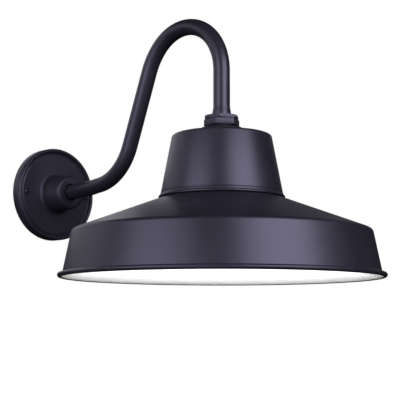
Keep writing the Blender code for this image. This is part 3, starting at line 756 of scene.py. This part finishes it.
# %% Walk along the arm's centreline
TUBE = 10.65            # radius, and the stem's below
TUBE_WALL = 2.45
STEM = 12.1
BENDS = [(477.0, 8.1), (76.8, 60.2), (84.5, -22.0), (69.7, -136.3)]     # radius and turn in degrees
RISE = 68.3             # heading of the straight run in the middle
BENDS_BEFORE_RISE = 2
STRAIGHT_TO = 50.8      # where the first bend starts
SWAGE = (82.0, 70.0)    # heights where the swelling starts and ends
BEND_STEP = 2.5


def bend(start, heading, radius, degrees):
    """Points along one bend as (distance from the wall, height), and the heading at its end."""
    side = 1 if degrees > 0 else -1
    centre = (start[0] - side * radius * sin(heading), start[1] + side * radius * cos(heading))
    count = max(2, round(abs(degrees) / BEND_STEP))
    points = []
    for i in range(1, count + 1):
        a = heading + radians(degrees) * i / count
        points.append((centre[0] + side * radius * sin(a), centre[1] - side * radius * cos(a)))
    return points, heading + radians(degrees)


def arm_route():
    reach, heading = 0.0, 0.0
    for radius, degrees in BENDS:
        points, heading = bend((0.0, 0.0), heading, radius, degrees)
        reach += points[-1][0]
    rise = (REACH - STRAIGHT_TO - reach) / cos(radians(RISE))
    start = -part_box("arm_tube")[1].y / MM
    route, heading = [(start, 0.0), (28.0, 0.0), (STRAIGHT_TO, 0.0)], 0.0
    for number, (radius, degrees) in enumerate(BENDS):
        if number == BENDS_BEFORE_RISE:
            route.append((route[-1][0] + rise * cos(heading), route[-1][1] + rise * sin(heading)))
        points, heading = bend(route[-1], heading, radius, degrees)
        route += points
    drop = [SWAGE[0] + (SWAGE[1] - SWAGE[0]) * i / 8 for i in range(9)]
    return route + [(REACH, z) for z in (*drop, 60.0, arm_end_height())]


def arm_end_height():
    """The arm's lower end: the lowest point of the tube near the shade's axis."""
    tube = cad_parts["arm_tube"].data
    near = [v.co.z for v in tube.vertices if abs(v.co.y - AXIS_Y) < 0.02]
    return min(near) / MM


def swept(points, radii, sides):
    """Extrudes a ring along points in space, turning it as little as it can on the way."""
    build = bmesh.new()
    bmesh.ops.create_circle(build, segments=sides, radius=1.0)
    ring = list(build.verts)
    last = Matrix.Identity(4)
    across = Vector((1.0, 0.0, 0.0))
    heading = (points[1] - points[0]).normalized()
    for i, (point, radius) in enumerate(zip(points, radii)):
        ahead = (points[min(i + 1, len(points) - 1)] - points[max(i - 1, 0)]).normalized()
        across.rotate(heading.rotation_difference(ahead))
        heading = ahead
        along = heading.cross(across)
        frame_here = Matrix((across * radius, along * radius, heading * radius)).transposed().to_4x4()
        frame_here.translation = point
        if i:
            verts = set(ring)
            edges = [e for e in build.edges if all(v in verts for v in e.verts)]
            made = bmesh.ops.extrude_edge_only(build, edges=edges)["geom"]
            ring = [v for v in made if isinstance(v, bmesh.types.BMVert)]
        bmesh.ops.transform(build, matrix=frame_here @ last.inverted(), verts=ring)
        last = frame_here
    return build


def in_space(route, sideways=0.0):
    return [Vector((sideways * MM, -s * MM, z * MM)) for s, z in route]


def swell(height):
    """0 above the swelling, 1 at its foot, with a smooth run between."""
    t = min(1.0, max(0.0, (SWAGE[0] - height) / (SWAGE[0] - SWAGE[1])))
    return t * t * (3 - 2 * t)


route = arm_route()
last_leg = [abs(s - REACH) < 0.01 for s, z in route]
radii = [(TUBE + (STEM - TUBE) * (swell(z) if leg else 0.0)) * MM for (s, z), leg in zip(route, last_leg)]
arm_build = close_seams(swept(in_space(route), radii, 64))
arm = add_piece("bent_arm", arm_build, (TUBE_COAT,), ["arm_tube"])
wall = arm.modifiers.new("wall", "SOLIDIFY")
wall.thickness = TUBE_WALL * MM
wall.offset = -1.0
print("arm route:", len(route), "steps, top at", round(max(z for s, z in route) + TUBE, 1), "mm")

# %% [markdown]
# # The wall canopy and its hub
# The canopy is one casting: a shallow dish with a raised bead round its edge, and a hub that grips the arm.
# Fillets run where the hub meets the face and round its front, because molten metal can't fill a sharp
# corner. The screw holes and the set screw's hole are cut afterwards, as they are drilled on the real one.

# %% Spin and drill the canopy
FACE = 13.6
HUB_FILLET = 4.5
SCREW_AT = 54.0
HOLE = 2.3              # radius
SET_SCREW_DEPTH = 21.0
SET_SCREW_TURN = 24.0


def canopy_profile():
    rim = softened([
        (ARM_BORE, HUB_FRONT, 0.5), (23.6, HUB_FRONT, 4.0), (26.8, FACE, HUB_FILLET),
        (58.8, FACE, 0.4), (61.0, FACE - 1.3, 0.5), (62.4, FACE - 1.0, 0.2),
    ], 8)
    bead = arc((65.2, 14.0), 2.8, 165, -10, 16)
    rest = softened([
        (67.1, 12.6, 0), (67.2, 11.7, 0.3), (CANOPY_RADIUS, 10.9, 0.4), (CANOPY_RADIUS, 1.8, 0.4),
        (65.4, 1.8, 0.4), (65.4, 9.6, 1.0), (64.4, 10.4, 0), (ARM_BORE, 10.4, 0),
    ], 5)
    return rim + bead + rest


def set_screw_place(build):
    """Moves a tool that stands on the Z axis onto the set screw's line, through the hub's underside."""
    place = (Matrix.Translation((0.0, -SET_SCREW_DEPTH * MM, 0.0))
             @ Matrix.Rotation(radians(180.0 + SET_SCREW_TURN), 4, "Y"))
    bmesh.ops.transform(build, matrix=place, verts=build.verts)
    return build


holes = [face_out(rod_tool(HOLE, 5.0, 20.0), side * SCREW_AT) for side in (-1, 1)]
holes.append(set_screw_place(rod_tool(HOLE, 7.6, 30.8)))
canopy = cut(face_out(spun(canopy_profile(), 216, on_axis=False)), holes)
add_piece("cast_canopy", canopy, (CAST_COAT,), ["canopy"])

# %% [markdown]
# # Round-headed screws
# Two black screws hold the canopy to the strap, and a green one on the strap takes the earth lead. A head is
# a shallow dome over a short straight edge, with a cross recess. The recess is cut with two crossed bars.

# %% Make the screws
SCREW = 1.95            # shank radius
EARTH_AT = 20.5


def round_head_screw(head, height, edge, seat):
    turns = [radians(6 * i) for i in range(16)]
    dome = [(head * sin(a), seat + edge + (height - edge) * cos(a)) for a in turns]
    shank = [(head, seat), (SCREW, seat), (SCREW, 0.9), (SCREW - 0.6, 0.3), (0.0, 0.3)]
    screw = spun(dome + shank, 48, closed=False, on_axis=False)
    bars = [box_tool((head * 1.1, 0.9, 2.0), (0, 0, seat + height), turn) for turn in (20, 110)]
    return soften_edges(cut(screw, bars), 0.08, 40.0, 1)


for side, label in ((-1, "left"), (1, "right")):
    screw = face_out(round_head_screw(4.2, 2.8, 0.5, FACE + 0.3), side * SCREW_AT)
    add_piece(f"round_head_screw_{label}", screw, (CAST_COAT,), [f"canopy_screw_{label}"])
earth = face_out(round_head_screw(4.0, 2.2, 0.9, 2.1), EARTH_AT)
add_piece("green_earth_screw", earth, (GREEN_DYE,), ["ground_screw"])

# %% [markdown]
# # The mounting strap
# The strap is punched from zinc-plated sheet: round ends, two slots for the wall box's screws, and a hole
# for the wires. A filled flat curve makes such a plate with its holes in one go. Punching rolls the edges
# over a little, so we bevel them.

# %% Punch the strap
STRAP_LENGTH = 120.0
STRAP_END = 15.0        # radius of its round ends
STRAP_SHEET = 1.8
WIRE_HOLE = 12.5
SLOT_AT = 35.0
SLOT_LENGTH = 13.0


def plate_outline(centre, length, radius, count=16):
    """A slot along X with round ends; a circle when its length is its width."""
    reach = length / 2 - radius
    right = arc((centre + reach, 0.0), radius, -90, 90, count)
    left = arc((centre - reach, 0.0), radius, 90, 270, count)
    if reach:
        return right + left
    return right + left[1:-1]


def punched(outlines, thickness):
    curve = bpy.data.curves.new("plate", "CURVE")
    curve.dimensions = "2D"
    curve.fill_mode = "BOTH"
    curve.extrude = thickness / 2 * MM
    for outline in outlines:
        spline = curve.splines.new("POLY")
        spline.points.add(len(outline) - 1)
        spline.use_cyclic_u = True
        for knot, (x, y) in zip(spline.points, outline):
            knot.co = (x * MM, y * MM, 0.0, 1.0)
    plate = bpy.data.objects.new("plate", curve)
    bpy.context.scene.collection.objects.link(plate)
    build = bmesh.new()
    build.from_mesh(plate.evaluated_get(bpy.context.evaluated_depsgraph_get()).to_mesh())
    bpy.data.objects.remove(plate, do_unlink=True)
    return close_seams(build)


outlines = [plate_outline(0.0, STRAP_LENGTH, STRAP_END, 24), plate_outline(0.0, 2 * WIRE_HOLE, WIRE_HOLE, 24)]
for side in (-1, 1):
    outlines.append(plate_outline(side * SLOT_AT, SLOT_LENGTH, HOLE))
    outlines.append(plate_outline(side * SCREW_AT, 2 * HOLE, HOLE))
outlines.append(plate_outline(EARTH_AT, 2 * HOLE, HOLE))
strap = soften_edges(punched(outlines, STRAP_SHEET), 0.2, 60.0)
bmesh.ops.translate(strap, verts=strap.verts, vec=(0.0, 0.0, STRAP_SHEET / 2 * MM))
add_piece("punched_strap", face_out(strap), (ZINC,), ["mounting_strap"])

# %% [markdown]
# # The leads
# Two insulated wires run from the lampholder up through the arm and out at the wall, and a green one hooks
# round the earth screw. They follow the arm's own route. Their ends are stripped, so copper shows there.

# %% Sweep the leads
LEAD = 1.3
CORE = 0.75
STRIPPED = 4            # steps of the hook where the copper is bare
LEAD_APART = 2.2
LOOP_RADIUS = 5.9
LOOP_DEPTH = 3.5
TAIL = [(2.4, 27.0), (3.2, 25.4), (5.6, 22.6), (7.6, 19.6), (7.9, 17.2)]


def closed_sweep(points, radius, sides=20):
    build = swept(points, [radius * MM] * len(points), sides)
    bmesh.ops.holes_fill(build, edges=[e for e in build.edges if e.is_boundary], sides=0)
    return close_seams(build)


def add_lead(label, points, bare, finish):
    """Bare is a run at the wall end, where the copper shows."""
    add_piece(f"{label}_insulation", closed_sweep(points, LEAD), (finish,), [f"{label}_lead"])
    add_piece(f"{label}_copper", closed_sweep(bare, CORE), (COPPER,))


for side, label, finish, slot in ((-1, "line", BLACK_VINYL, "black_insulation"),
                                  (1, "neutral", WHITE_VINYL, "white_insulation")):
    sideways = side * LEAD_APART
    tail = [Vector((side * x * MM, AXIS_Y, z * MM)) for x, z in TAIL]
    wall_run = [Vector((sideways * MM, -s * MM, 0.0)) for s in (0.8, 2.4, 4.0)]
    inside = in_space([p for p in route[1:] if p[1] > 28.5 or p[0] < REACH - 1], sideways)
    add_lead(label, [wall_run[2], *inside, *tail], wall_run, finish)

loop = arc((EARTH_AT, 0.0), LOOP_RADIUS, 50, 206, 16)
hook = [Vector((x, -LOOP_DEPTH, z)) * MM for x, z in loop]
to_wall = ((11.5, 3.5, -6.2), (8.0, 3.0, -6.6), (5.4, 2.2, -6.6), (4.9, 1.6, -6.6))
run = [Vector((x, -y, z)) * MM for x, y, z in to_wall]
add_lead("ground", hook[STRIPPED:] + run, hook[:STRIPPED + 1], GREEN_VINYL)

# %% [markdown]
# # The lampholder
# A porcelain body holds a threaded brass shell, and a cast cap screws the whole to the stem. Porcelain is
# pressed and fired, so its edges are generously rounded. The shell's thread is a true helix: we spin a plain
# tube with many rings, and then push each point in or out by its height and its angle.

# %% Build the lampholder
HOLDER_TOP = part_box("lampholder_body")[1].z / MM
HOLDER_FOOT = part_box("lampholder_body")[0].z / MM
SOCKET_ROOF = -2.0
PITCH = 3.6


def wind_thread(build, low, high, swing):
    """Pushes points between two heights in and out along a helix, fading at both ends."""
    for vert in build.verts:
        height = vert.co.z / MM
        if not low < height < high:
            continue
        fade = min(1.0, (height - low) / PITCH, (high - height) / PITCH)
        x, y = vert.co.x, vert.co.y - AXIS_Y
        push = swing * fade * cos(tau * height / PITCH + atan2(y, x)) * MM
        scale = 1 + push / hypot(x, y)
        vert.co.x = x * scale
        vert.co.y = AXIS_Y + y * scale
    return build


def ladder(radius, top, foot, step=0.4):
    """Points down a straight wall, close enough together to hold a thread."""
    count = round(abs(top - foot) / step)
    return [(radius, top + (foot - top) * i / count) for i in range(count + 1)]


body_outline = softened([
    (0.0, HOLDER_TOP, 0), (20.5, HOLDER_TOP, 1.5), (22.6, HOLDER_TOP - 6.4, 1.5),
    (22.6, HOLDER_FOOT + 9, 1.2), (20.8, HOLDER_FOOT + 7, 1.0), (20.8, HOLDER_FOOT, 1.6),
    (14.9, HOLDER_FOOT, 0.9), (14.9, SOCKET_ROOF, 0.8), (0.0, SOCKET_ROOF, 0),
], 6)
porcelain_build = spun(body_outline, 96, closed=False)
add_piece("porcelain_body", porcelain_build, (PORCELAIN,), ["lampholder_body"])

shell_top, shell_foot = SOCKET_ROOF - 1.0, HOLDER_FOOT + 2.0
shell = spun(ladder(14.35, shell_top, shell_foot) + ladder(13.95, shell_foot, shell_top), 72)
wind_thread(shell, shell_foot, shell_top, 0.18)
add_piece("threaded_shell", shell, (BRASS,), ["lampholder_shell"])

cap_outline = softened([
    (17.0, 36.0, 0.6), (17.0, 26.0, 1.5), (21.5, 22.5, 1.5), (25.0, 17.0, 2.0), (25.0, 5.6, 0.6),
    (22.9, 5.6, 0.4), (22.9, 16.2, 1.0), (20.0, 20.6, 1.0), (15.2, 24.0, 0.6), (STEM_HOLE, 24.0, 0.3),
    (STEM_HOLE, 36.0, 0.6),
], 5)
add_piece("cast_lampholder_cap", spun(cap_outline, 96), (ALUMINIUM,), ["lampholder_cap"])

for side, label, finish, slot in ((-1, "line", BRASS, "brass"), (1, "neutral", NICKEL, "nickel")):
    head = [(0.0, 16.9), (2.2, 16.9), (2.8, 16.6), (3.0, 16.1), (3.0, 14.9), (0.0, 14.9)]
    slot_tool = box_tool((8.0, 0.7, 1.4), (0, 0, 16.9), 35 * side)
    screw = cut(spun(head, 40, closed=False, on_axis=False), [slot_tool])
    bmesh.ops.translate(screw, verts=screw.verts, vec=(side * 11.5 * MM, AXIS_Y, 0.0))
    add_piece(f"{label}_terminal", screw, (finish,), [f"terminal_screw_{label}"])

# %% [markdown]
# # The bulb
# The bulb screws in from below. Its cap carries the thread that fits the shell, with black glass and a
# contact at its tip, then a white plastic body and an opal dome. It is its own body, so it comes out whole.
# The dome's outline is a circle stretched a little, and its wall follows inside.

# %% Build the bulb
DOME_RADIUS = 29.5
WIDEST = -76.5
DOME_SEAT = -71.7
DOME_WALL = 1.6


def bulb_piece(name, outline, finish, node, sides=96, closed=False):
    profile = [(r, z + BULB_TOP) for r, z in outline]
    return add_piece(name, spun(profile, sides, closed), (finish,), [node], "bulb")


tip_outline = softened([(0, 0, 0), (3.4, 0, 0.5), (4.4, -0.9, 0.3), (4.4, -1.7, 0), (0, -1.7, 0)])
bulb_piece("solder_tip", tip_outline, NICKEL, "bulb_contact", 48)
glass_outline = softened([(0, -2.0, 0), (5.6, -2.0, 0.6), (8.6, -4.0, 0.5), (8.6, -5.4, 0), (0, -5.4, 0)])
bulb_piece("black_glass_ring", glass_outline, BLACK_GLASS, "bulb_insulator", 64)

cap_wall = [(9.0, -4.4), (12.2, -5.9), *ladder(12.85, -6.9, -26.0), *ladder(12.25, -26.0, -7.4), (9.0, -5.6)]
cap = spun([(r, z + BULB_TOP) for r, z in cap_wall], 72)
wind_thread(cap, BULB_TOP - 25.4, BULB_TOP - 7.6, 0.32)
add_piece("threaded_bulb_cap", cap, (NICKEL,), ["bulb_screw_cap"], "bulb")

housing = softened([
    (13.3, -26.4, 0.4), (14.6, -31.0, 3.0), (16.5, -40.0, 12.0), (22.0, -56.0, 22.0), (27.4, -68.0, 1.2),
    (28.2, -71.0, 0.5), (26.4, -71.0, 0.3), (20.4, -56.0, 12.0), (14.8, -40.0, 8.0), (12.0, -30.0, 1.0),
    (12.0, -26.4, 0.4),
], 8)
bulb_piece("bulb_body", housing, WHITE_PLASTIC, "bulb_housing", 96, True)


def dome_outline():
    tip = BULB_FOOT - BULB_TOP
    stretch = (WIDEST - tip) / DOME_RADIUS
    outer = [(r, WIDEST + z * stretch) for r, z in arc((0, 0), DOME_RADIUS, 0, -90, 36)[:-1]]
    inner = [(r * 0.946, z + (DOME_WALL if r < 20 else 0.6 + 0.05 * (DOME_RADIUS - r))) for r, z in outer]
    shell = [(28.4, DOME_SEAT), *outer, (0.0, tip)]
    return [(0.0, tip + DOME_WALL), *inner[::-1], (26.8, DOME_SEAT), *shell]


bulb_piece("opal_dome", dome_outline(), OPAL, "bulb_diffuser")

# %% [markdown]
# # Parts kept as they are
# A few small parts already have their true shape in the working model: the set screw with its hexagon
# socket, the contact tongue and the flat light board. They only need their finish.

# %% Finish the parts that are kept
KEPT = {"hub_set_screw": BLACK_OXIDE, "lampholder_contact": BRASS, "bulb_led_board": WHITE_PLASTIC}
for node, finish in KEPT.items():
    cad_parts[node].material_slots[0].material = finish.material
print("kept parts:", sorted(KEPT))

# %% [markdown]
# # Print the size
# The finished lantern must fill the same box as the working model. We print the spans of both boxes side by
# side.

# %% Write the sizes and finish
finished_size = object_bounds()
for axis, name in enumerate("xyz"):
    span = [(box[1][axis] - box[0][axis]) / MM for box in (working_size, finished_size)]
    print(f"{name}: working {span[0]:.1f} mm, finished {span[1]:.1f} mm")
